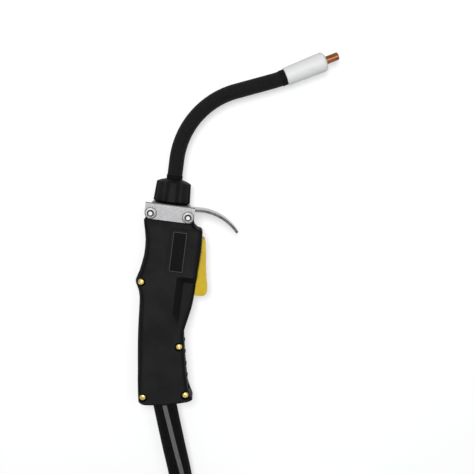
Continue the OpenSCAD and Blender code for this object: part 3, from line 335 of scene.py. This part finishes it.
class Look:
    """A procedural material. Its steps return sockets that the next steps take."""

    def __init__(self, name, **uniform):
        """uniform sets the shader's sockets that are the same all over, with _ for a space."""
        self.material = bpy.data.materials.new(name)
        self.material.use_nodes = True
        self.tree = self.material.node_tree
        self.shader = self.tree.nodes["Principled BSDF"]
        for socket, value in uniform.items():
            self.shader.inputs[socket.replace("_", " ")].default_value = value
        self.place = self.node("ShaderNodeTexCoord").outputs["Object"]

    def node(self, kind, **settings):
        made = self.tree.nodes.new(kind)
        for key, value in settings.items():
            setattr(made, key, value)
        return made

    def feed(self, socket, value):
        if isinstance(value, bpy.types.NodeSocket):
            self.tree.links.new(value, socket)
        else:
            socket.default_value = value

    def take(self, kind, inputs, **settings):
        """A node with its inputs, by name or number, fed from values or sockets."""
        made = self.node(kind, **settings)
        for key, value in inputs.items():
            self.feed(made.inputs[key], value)
        return made

    def along(self):
        """The tube's own coordinates: u once round, v along."""
        return self.node("ShaderNodeUVMap", uv_map="along").outputs["UV"]

    def split(self, vector):
        return self.take("ShaderNodeSeparateXYZ", {"Vector": vector}).outputs

    def stretched(self, scale, vector):
        return self.take("ShaderNodeMapping", {"Vector": vector, "Scale": scale}).outputs["Vector"]

    def noise(self, scale, detail=3.0, roughness=0.55, vector=None):
        """Noise with about scale grains to a unit of the vector, which is a metre by default."""
        inputs = {"Vector": vector or self.place, "Scale": scale,
                  "Detail": detail, "Roughness": roughness}
        return self.take("ShaderNodeTexNoise", inputs).outputs["Fac"]

    def math(self, operation, a, b=0.0):
        return self.take("ShaderNodeMath", {0: a, 1: b}, operation=operation).outputs[0]

    def plus(self, a, b):
        return self.math("ADD", a, b)

    def minus(self, a, b):
        return self.math("SUBTRACT", a, b)

    def times(self, a, b):
        return self.math("MULTIPLY", a, b)

    def absolute(self, a):
        return self.math("ABSOLUTE", a)

    def average(self, a, b):
        return self.times(self.plus(a, b), 0.5)

    def between(self, value, low, high, out_low=0.0, out_high=1.0):
        """Maps low..high smoothly to out_low..out_high."""
        inputs = {"Value": value, "From Min": low, "From Max": high,
                  "To Min": out_low, "To Max": out_high}
        made = self.take("ShaderNodeMapRange", inputs, interpolation_type="SMOOTHSTEP")
        return made.outputs["Result"]

    def above(self, value, limit, blur):
        """1 where the value is above the limit and 0 below it, with blur to either side."""
        return self.between(value, limit - blur, limit + blur)

    def below(self, value, limit, blur):
        """1 where the value is below the limit and 0 above it, with blur to either side."""
        return self.between(value, limit + blur, limit - blur)

    def patches(self, scale, detail=3.0, roughness=0.55, span=GRAIN_SPAN):
        """Noise whose values in span are spread over 0 to 1."""
        return self.between(self.noise(scale, detail, roughness), *span)

    def blend(self, a, b, share):
        """The colour a where share is 0, and b where it is 1."""
        made = self.take("ShaderNodeMix", {"Factor": share}, data_type="RGBA")
        for socket, colour in zip([s for s in made.inputs if s.type == "RGBA"], (a, b)):
            self.feed(socket, colour)
        return next(s for s in made.outputs if s.type == "RGBA")

    def dot(self, a, b):
        made = self.take("ShaderNodeVectorMath", {0: a, 1: b}, operation="DOT_PRODUCT")
        return made.outputs["Value"]

    def distance(self, a, b):
        made = self.take("ShaderNodeVectorMath", {0: a, 1: b}, operation="DISTANCE")
        return made.outputs["Value"]

    def worn(self):
        """1 along sharp edges, 0 on flat places: where a rounded edge would turn the surface."""
        rounded = self.take("ShaderNodeBevel", {"Radius": WORN_REACH * MM}, samples=4)
        plain = self.node("ShaderNodeNewGeometry")
        turn = self.dot(rounded.outputs["Normal"], plain.outputs["Normal"])
        return self.between(turn, *WORN_SPAN)

    def open_air(self):
        """1 on open faces, less in corners and beside steps."""
        air = self.take("ShaderNodeAmbientOcclusion", {"Distance": CORNER_REACH * MM}, samples=8)
        return self.between(air.outputs["AO"], *OPEN_SPAN)

    def level(self):
        """1 on faces that lie level on the object, 0 on those that lean by 50 degrees or more."""
        _, _, up = self.split(self.node("ShaderNodeTexCoord").outputs["Normal"])
        return self.between(self.absolute(up), *LEVEL_SPAN)

    def colour(self, value):
        self.feed(self.shader.inputs["Base Color"], value)

    def roughness(self, value, span, rough):
        """Roughness that goes over rough as the value goes over span."""
        self.feed(self.shader.inputs["Roughness"], self.between(value, *span, *rough))

    def relief(self, height, depth):
        """Raises the surface by up to depth millimetres where height is 1."""
        inputs = {"Height": height, "Strength": 1.0, "Distance": depth * MM}
        made = self.take("ShaderNodeBump", inputs)
        normal = self.shader.inputs["Normal"]
        if normal.links:
            self.feed(made.inputs["Normal"], normal.links[0].from_socket)
        self.feed(normal, made.outputs["Normal"])


# ---- materials

RUBBED_BLACK = tone(50, 50, 51)
# Painted shade: the near-black that corners and steps of moulded plastic are darkened towards.
PAINTED_CORNER_SHADE = tone(6, 6, 6)


def moulded_plastic(name, dark, light, flank_shade=None, rough=(0.5, 0.66), gloss=0.03):
    """Moulded plastic: fine grain, drifting tone, rubbed edges, painted shade in corners and beside
    steps and, if given, darker flanks as painted shade.
    """
    look = Look(name, Specular_IOR_Level=gloss)
    skin = look.blend(dark, light, look.patches(35.0, detail=2.0))
    if flank_shade:
        # Painted shade: faces that lean by 50 degrees or more take the darker colour given for
        # them.
        skin = look.blend(flank_shade, skin, look.level())
    skin = look.blend(skin, RUBBED_BLACK, look.worn())
    # Painted shade: darker towards near black in corners and beside steps.
    look.colour(look.blend(PAINTED_CORNER_SHADE, skin, look.open_air()))
    look.roughness(look.noise(240.0, detail=4.0), (0.25, 0.75), rough)
    look.relief(look.noise(1400.0, roughness=0.6), 0.05)
    return look.material


LABEL_HIGHLIGHT_AT = 0.7   # from the label's edge
LABEL_HIGHLIGHT_W = 0.6


def bordered_label():
    """Blank label plate: near-black film with one thin painted highlight inside its edge, for the
    light on its raised frame.
    """
    look = Look("label_film", Specular_IOR_Level=0.06)
    low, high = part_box("label_plate")
    x, y, _ = look.split(look.place)
    insets = []
    for value, a, b in ((x, low[0], high[0]), (y, low[1], high[1])):
        off_middle = look.absolute(look.minus(value, (a + b) / 2))
        insets.append(look.minus((b - a) / 2, off_middle))
    inset = look.times(look.math("MINIMUM", *insets), 1 / MM)
    off_line = look.absolute(look.minus(inset, LABEL_HIGHLIGHT_AT))
    # Painted highlight: a thin light line inside the label's edge, for the light on its raised
    # frame.
    line = look.below(off_line, LABEL_HIGHLIGHT_W / 2, blur=0.1)
    film = look.blend(tone(4, 4, 5), tone(9, 9, 10), look.patches(300.0))
    look.colour(look.blend(film, tone(74, 74, 72), line))
    look.roughness(look.noise(500.0), GRAIN_SPAN, (0.55, 0.65))
    look.relief(look.noise(900.0), 0.01)
    return look.material


def braid(look, strands, lean, vector):
    """A tube's over-and-under braid: its height, 0 to 1, and 1 where the right lay is on top."""
    u, v, _ = look.split(vector)
    round_it = look.times(u, strands)
    along_it = look.times(v, strands * lean)
    right = look.plus(round_it, along_it)
    left = look.minus(round_it, along_it)
    # The two whole parts add up to -1 or more, so 2 on top keeps the remainder positive.
    whole = look.plus(look.math("FLOOR", right), look.math("FLOOR", left))
    over = look.math("MODULO", look.plus(whole, 2.0), 2.0)
    crown_right, crown_left = (
        look.absolute(look.math("SINE", look.times(lay, math.pi))) for lay in (right, left))
    height = look.plus(look.times(over, crown_right),
                       look.times(look.minus(1.0, over), crown_left))
    return height, over


def braided_sleeve():
    """Varnished glass-fibre braid over the neck."""
    look = Look("braided_sleeve", Specular_IOR_Level=0.05)
    height, over = braid(look, strands=32.0, lean=0.95, vector=look.along())
    speck = look.patches(1500.0, detail=2.0, span=(0.48, 0.62))
    strand = look.blend(tone(6, 6, 6), tone(30, 30, 30), height)
    varnish = look.times(speck, look.plus(0.25, look.times(over, 0.45)))
    look.colour(look.blend(strand, tone(50, 50, 50), varnish))
    look.roughness(look.noise(500.0), GRAIN_SPAN, (0.42, 0.62))
    look.relief(height, 0.3)
    look.relief(look.noise(2600.0, detail=2.0), 0.08)
    return look.material


STRIPE_W = 4.3
STRIPE_AT = 0.0046    # turns round the cable from its top, at the handle
STRIPE_DRIFT = 0.033  # turns round the cable for each of its girths along it
FIBRE_SCALE = (110.0, 14.0, 1.0)


def cable_jacket():
    """Woven cable jacket with one light stripe that slowly winds round it."""
    look = Look("cable_jacket", Specular_IOR_Level=0.02)
    along = look.along()
    u, v, _ = look.split(along)
    turned = look.minus(u, look.plus(STRIPE_AT, look.times(v, STRIPE_DRIFT)))
    off_stripe = look.absolute(look.minus(look.math("FRACT", look.plus(turned, 0.5)), 0.5))
    half = STRIPE_W / (math.pi * CABLE_D) / 2
    stripe = look.below(off_stripe, half, blur=0.08 * half)
    height, _ = braid(look, strands=64.0, lean=0.45, vector=along)
    fibre = look.noise(1.0, roughness=0.7, vector=look.stretched(FIBRE_SCALE, along))
    dark = look.blend(tone(14, 14, 15), tone(29, 29, 30), look.between(fibre, 0.35, 0.7))
    light = look.blend(tone(92, 92, 94), tone(120, 120, 121), look.between(fibre, *GRAIN_SPAN))
    look.colour(look.blend(dark, light, stripe))
    look.roughness(fibre, GRAIN_SPAN, (0.5, 0.66))
    look.relief(height, 0.12)
    look.relief(fibre, 0.08)
    return look.material


def rolled_metal(name, base, rough=(0.3, 0.46)):
    """Zinc-plated or rolled metal: fine grain, mottled tone and brighter worn edges."""
    look = Look(name, Metallic=1.0)
    fine = look.noise(900.0, detail=4.0, roughness=0.7)
    mottle = look.patches(160.0, detail=4.0, roughness=0.65)
    tint = look.blend(lit(base, 0.825), base, look.average(fine, mottle))
    look.colour(look.blend(tint, lit(base, 1.25), look.worn()))
    look.roughness(fine, GRAIN_SPAN, rough)
    look.relief(fine, 0.03)
    return look.material


SCREW_PLACES = ((-18.1, -12.1), (18.1, -12.1))
# Radii of the dark ring round each screw, partly the lock nut's ring and partly painted shade, and
# where painted shade round the washer starts.
INSERT_AND_SHADE_R = (1.9, 3.7)
WASHER_RIM_R = 5.0


def lock_fastener():
    """Plated screw end, lock nut and washer: a dark ring round the screw, partly the nut's lock
    ring and partly painted shade in the screw's chamfer and the nut's bore, and painted shade round
    the washer's outer edge.
    """
    look = Look("lock_fastener", Metallic=1.0)
    x, y, z = look.split(look.place)
    plan = look.take("ShaderNodeCombineXYZ", {"X": x, "Y": y}).outputs["Vector"]
    spans = [look.distance(plan, (at(*place).x, at(*place).y, 0)) for place in SCREW_PLACES]
    reach = look.times(look.math("MINIMUM", *spans), 1 / MM)
    # Dark ring round the screw: partly the lock nut's ring, partly painted shade in the screw's
    # chamfer and the nut's bore.
    inside = look.above(reach, INSERT_AND_SHADE_R[0], blur=0.15)
    outside = look.below(reach, INSERT_AND_SHADE_R[1], blur=0.3)
    front = look.between(z, at(0, 0, 0).z, at(0, 0, 1).z)
    insert_and_shade = look.times(front, look.times(inside, outside))
    # Painted shade round the washer's outer edge.
    rim_shade = look.above(reach, WASHER_RIM_R, blur=0.3)
    grain = look.patches(700.0, detail=4.0, roughness=0.65)
    plate = look.blend(tone(116, 116, 117), tone(142, 142, 143), grain)
    plate = look.blend(tone(140, 140, 141), plate, inside)
    # This dark tone is the lock nut's ring and the painted shade.
    ring_shade_tone = look.blend(tone(50, 50, 51), tone(68, 68, 69), grain)
    look.colour(look.blend(plate, ring_shade_tone, look.math("MAXIMUM", insert_and_shade, rim_shade)))
    look.roughness(grain, (0.0, 1.0), (0.32, 0.45))
    look.relief(grain, 0.01)
    return look.material


STRIP_GRAIN_SCALE = (700.0, 700.0, 90.0)
STRIP_EDGE_SPAN = (0.8, 0.95)   # z of the normal from where on it is a sheared edge


def sheared_strip():
    """Plated strip: its sheared edges, which face up and down, are coloured darker and rougher than
    its faces.
    """
    look = Look("sheared_strip", Metallic=1.0)
    grain = look.noise(1.0, 4.0, 0.7, look.stretched(STRIP_GRAIN_SCALE, look.place))
    mottle = look.patches(170.0, detail=4.0, roughness=0.65)
    face = look.blend(tone(126, 126, 127), tone(154, 154, 155), look.average(grain, mottle))
    cut = look.blend(tone(56, 56, 57), tone(84, 84, 85), mottle)
    _, _, up = look.split(look.node("ShaderNodeNewGeometry").outputs["Normal"])
    edge = look.between(look.absolute(up), *STRIP_EDGE_SPAN)
    # Faces whose normal points up or down, the sheared edges, are coloured darker.
    look.colour(look.blend(face, cut, edge))
    look.roughness(edge, (0.0, 1.0), (0.3, 0.5))
    look.relief(grain, 0.03)
    return look.material


def turned_metal(name, base, dark, rough=(0.18, 0.34)):
    """Turned brass or copper: fine grain, a little tarnish in patches and bright edges."""
    look = Look(name, Metallic=1.0)
    tarnish = look.patches(220.0, detail=4.0, roughness=0.6, span=(0.45, 0.75))
    fine = look.noise(2200.0, detail=2.0)
    tint = look.blend(base, dark, look.times(tarnish, 0.55))
    look.colour(look.blend(tint, base, look.worn()))
    look.roughness(look.plus(tarnish, fine), (0.2, 1.6), rough)
    look.relief(fine, 0.02)
    return look.material


def white_insulator():
    """Pressed white insulator with a matt skin and faint stains."""
    look = Look("white_insulator", Specular_IOR_Level=0.4)
    stain = look.patches(90.0, detail=4.0, roughness=0.6, span=(0.5, 0.8))
    look.colour(look.blend(tone(230, 230, 229), tone(222, 221, 218), stain))
    look.roughness(look.noise(400.0), GRAIN_SPAN, (0.42, 0.58))
    look.relief(look.noise(900.0), 0.04)
    return look.material


def coloured_plastic(name, main, shade, edge):
    """Bright moulded plastic, a little darker in patches, rubbed at its edges."""
    look = Look(name, Specular_IOR_Level=0.25)
    skin = look.blend(main, shade, look.patches(60.0, span=(0.35, 0.7)))
    look.colour(look.blend(skin, edge, look.worn()))
    look.roughness(look.noise(300.0), GRAIN_SPAN, (0.36, 0.5))
    look.relief(look.noise(1500.0), 0.03)
    return look.material


WEAVE_RATE = 5200.0   # radians of the weave's waves to the metre


def strap_fabric():
    """Woven nylon strap."""
    look = Look("strap_fabric", Specular_IOR_Level=0.25)
    x, y, z = look.split(look.place)
    ways = look.plus(x, look.plus(y, z)), look.minus(x, look.minus(y, z))
    rows, cross = (look.math("SINE", look.times(way, WEAVE_RATE)) for way in ways)
    weave = look.between(look.times(rows, cross), -1.0, 1.0)
    look.colour(look.blend(tone(20, 20, 22), tone(52, 52, 55), weave))
    look.roughness(look.noise(700.0), GRAIN_SPAN, (0.65, 0.85))
    look.relief(weave, 0.25)
    return look.material


def make_looks():
    """The materials by the record's slots, and by node for the nodes that have their own."""
    fastener = lock_fastener()
    return {
        # The handle's darker colour for leaning faces is painted shade.
        "handle_plastic": moulded_plastic(
            "handle_plastic", tone(30, 30, 30), tone(37, 37, 38), flank_shade=tone(16, 16, 16)),
        "black_plastic": moulded_plastic(
            "black_plastic", tone(21, 21, 21), tone(29, 29, 30), rough=(0.4, 0.55), gloss=0.04),
        "grey_plastic": moulded_plastic("grey_plastic", tone(60, 60, 62), tone(74, 74, 76)),
        "black_rubber": moulded_plastic(
            "black_rubber", tone(12, 12, 12), tone(20, 20, 20), rough=(0.6, 0.75), gloss=0.06),
        "label": bordered_label(),
        "jacket": braided_sleeve(),
        "cable": cable_jacket(),
        "tie": strap_fabric(),
        "insulator": white_insulator(),
        "copper": turned_metal(
            "turned_copper", tone(134, 86, 58), tone(54, 26, 14), rough=(0.14, 0.24)),
        "brass": turned_metal("turned_brass", tone(196, 174, 104), tone(134, 110, 54)),
        # The tip holder's brass is darkened all over as painted shade, for where it shows in the
        # gap behind the insulator.
        "tip_holder": turned_metal("darkened_brass", tone(92, 74, 46), tone(54, 42, 26)),
        "steel": rolled_metal("plated_steel", tone(212, 212, 214)),
        "dark_steel": rolled_metal("black_steel", tone(92, 92, 94)),
        "sheet_metal": rolled_metal(
            "galvanised_sheet", tone(132, 132, 133), rough=(0.45, 0.6)),
        "hand_shield": sheared_strip(),
        "bracket_screws": fastener,
        "bracket_washers": fastener,
        "bracket_nuts": fastener,
        "yellow_plastic": coloured_plastic(
            "yellow_plastic", tone(211, 184, 24), tone(201, 165, 26), tone(222, 202, 60)),
        "red_plastic": coloured_plastic(
            "red_plastic", tone(170, 34, 30), tone(150, 28, 26), tone(190, 60, 50)),
        "wire": coloured_plastic(
            "wire_sleeve", tone(60, 60, 62), tone(48, 48, 50), tone(80, 80, 82)),
    }


# ---- CAD nodes

SHARP_FOLD = 40   # degrees between two faces, over which their edge is sharp
WELD_REACH = 0.002
BEVEL_SEGMENTS = 2
BEVEL_WIDTHS = {
    "handle_front": 0.5, "handle_back": 0.5, "handle_nuts": 0.2, "label_plate": 0.15,
    "trigger": 0.7, "neck_nut": 0.4, "neck_collar": 0.5, "neck_end_ring": 0.4,
    "tip_holder": 0.2, "nozzle_insulator": 0.3, "shield_bracket": 0.35, "hand_shield": 0.2,
    "bracket_screws": 0.2, "bracket_washers": 0.2, "bracket_nuts": 0.35, "coil_ties": 0.3,
    "plug_boot": 0.4, "plug_housing_top": 0.3, "plug_housing_base": 0.3, "plug_screws": 0.15,
    "plug_carrier": 0.3, "coupling_nut": 0.3,
}
BEVEL_FOLDS = {"handle_front": 30, "handle_back": 30}   # where it isn't SHARP_FOLD


def shading_group():
    """Geometry nodes that shade a mesh smoothly, but not across sharp folds."""
    group = bpy.data.node_groups.new("fold_shading", "GeometryNodeTree")
    group.interface.new_socket("Geometry", in_out="INPUT", socket_type="NodeSocketGeometry")
    group.interface.new_socket("Geometry", in_out="OUTPUT", socket_type="NodeSocketGeometry")
    start = group.nodes.new("NodeGroupInput")
    end = group.nodes.new("NodeGroupOutput")
    plain = group.nodes.new("GeometryNodeRemoveAttribute")
    plain.inputs["Name"].default_value = "custom_normal"
    smooth = group.nodes.new("GeometryNodeSetShadeSmooth")
    sharp = group.nodes.new("GeometryNodeSetShadeSmooth")
    sharp.domain = "EDGE"
    sharp.inputs["Shade Smooth"].default_value = False
    angle = group.nodes.new("GeometryNodeInputMeshEdgeAngle")
    over = group.nodes.new("FunctionNodeCompare")
    over.operation = "GREATER_THAN"
    over.inputs["B"].default_value = math.radians(SHARP_FOLD)
    join = group.links.new
    join(start.outputs["Geometry"], plain.inputs["Geometry"])
    join(plain.outputs["Geometry"], smooth.inputs["Geometry"])
    join(smooth.outputs["Geometry"], sharp.inputs["Geometry"])
    join(angle.outputs["Unsigned Angle"], over.inputs["A"])
    join(over.outputs["Result"], sharp.inputs["Selection"])
    join(sharp.outputs["Geometry"], end.inputs["Geometry"])
    return group


def dress_nodes(looks):
    """Gives each CAD node its finish, soft edges and smooth shading."""
    shading = shading_group()
    for part in frame["record"]["subparts"]:
        name = part["node"]
        node = frame["nodes"][name]
        for slot in node.material_slots:
            slot.link = "OBJECT"
            slot.material = looks.get(name, looks[part["material_slot"]])
        weld = node.modifiers.new("weld", "WELD")
        weld.merge_threshold = WELD_REACH * MM
        if name in BEVEL_WIDTHS:
            edge = node.modifiers.new("edges", "BEVEL")
            edge.width = BEVEL_WIDTHS[name] * MM
            edge.segments = BEVEL_SEGMENTS
            edge.limit_method = "ANGLE"
            edge.angle_limit = math.radians(BEVEL_FOLDS.get(name, SHARP_FOLD))
        node.modifiers.new("shading", "NODES").node_group = shading
        even = node.modifiers.new("even", "WEIGHTED_NORMAL")
        even.keep_sharp = True


# ---- stage

SEEN_BY = ("Is Camera Ray", "Is Glossy Ray", "Is Transmission Ray")
WHITE = (1.0, 1.0, 1.0, 1.0)
FLOOR_HALF = 4.0      # metres
FLOOR_DROP = 0.0003   # metres below what lies on it
FLOOR_GLOW = 0.49
FLOOR_PAINT = 0.64
FLOOR_BOUNCE = 0.6
SKY_LIGHT = (0.92, 0.96, 1.0, 1.0)
SKY_STRENGTH = 0.2
LIGHT_AIM = (20, -30, 0)
LIGHTS = [   # name, place, side in metres, watts
    ("key_softbox", (-120, 240, 1250), 0.4, 10.8),
    ("fill_softbox", (330, 100, 1150), 0.5, 2.2),
]


def grey(level):
    return (level, level, level, 1.0)


def seen_rays(tree):
    """1 where the ray is one of those that see or mirror a surface."""
    path = tree.nodes.new("ShaderNodeLightPath")
    total = path.outputs[SEEN_BY[0]]
    for ray in SEEN_BY[1:]:
        either = tree.nodes.new("ShaderNodeMath")
        either.operation = "MAXIMUM"
        tree.links.new(total, either.inputs[0])
        tree.links.new(path.outputs[ray], either.inputs[1])
        total = either.outputs[0]
    return total


def show_and_light(tree, out_kind, shown, lighting):
    """Ends a tree in one shader where it is seen or mirrored, and another for all other rays."""
    out = tree.nodes.new(out_kind)
    pick = tree.nodes.new("ShaderNodeMixShader")
    tree.links.new(seen_rays(tree), pick.inputs["Fac"])
    tree.links.new(lighting.outputs[0], pick.inputs[1])
    tree.links.new(shown.outputs[0], pick.inputs[2])
    tree.links.new(pick.outputs[0], out.inputs["Surface"])


def shader(tree, kind, colour, strength=None):
    made = tree.nodes.new(kind)
    made.inputs["Color"].default_value = colour
    if strength is not None:
        made.inputs["Strength"].default_value = strength
    return made


def add_floor():
    """A pale floor: seen or mirrored it is lifted to white, but it lights the object less."""
    corners = [(x * FLOOR_HALF, y * FLOOR_HALF, -FLOOR_DROP)
               for x, y in ((-1, -1), (1, -1), (1, 1), (-1, 1))]
    floor = add_mesh("floor", corners, [(0, 1, 2, 3)], smooth=False)
    material = bpy.data.materials.new("pale_floor")
    material.use_nodes = True
    tree = material.node_tree
    tree.nodes.clear()
    paint = shader(tree, "ShaderNodeBsdfDiffuse", grey(FLOOR_PAINT))
    glow = shader(tree, "ShaderNodeEmission", WHITE, FLOOR_GLOW)
    bounce = shader(tree, "ShaderNodeBsdfDiffuse", grey(FLOOR_BOUNCE))
    lifted = tree.nodes.new("ShaderNodeAddShader")
    tree.links.new(paint.outputs[0], lifted.inputs[0])
    tree.links.new(glow.outputs[0], lifted.inputs[1])
    show_and_light(tree, "ShaderNodeOutputMaterial", shown=lifted, lighting=bounce)
    floor.data.materials.append(material)


def add_world():
    """White where it is seen or mirrored; its own light on the object is soft and cool."""
    world = bpy.data.worlds.new("studio")
    bpy.context.scene.world = world
    world.use_nodes = True
    tree = world.node_tree
    tree.nodes.clear()
    soft = shader(tree, "ShaderNodeBackground", SKY_LIGHT, SKY_STRENGTH)
    white = shader(tree, "ShaderNodeBackground", WHITE)
    show_and_light(tree, "ShaderNodeOutputWorld", shown=white, lighting=soft)


def add_light(name, place, size, power):
    """A square softbox that faces LIGHT_AIM."""
    data = bpy.data.lights.new(name, "AREA")
    data.shape = "SQUARE"
    data.size = size
    data.energy = power
    light = bpy.data.objects.new(name, data)
    bpy.context.scene.collection.objects.link(light)
    light.location = at(*place)
    light.rotation_mode = "QUATERNION"
    light.rotation_quaternion = (at(*LIGHT_AIM) - at(*place)).to_track_quat("-Z", "Y")


def add_stage():
    add_floor()
    add_world()
    for light in LIGHTS:
        add_light(*light)


bpy.context.scene.view_settings.view_transform = "Standard"
add_camera()
cable = add_cable()
sleeve = add_neck_sleeve()
looks = make_looks()
cable.data.materials.append(looks["cable"])
sleeve.data.materials.append(looks["jacket"])
dress_nodes(looks)
add_stage()
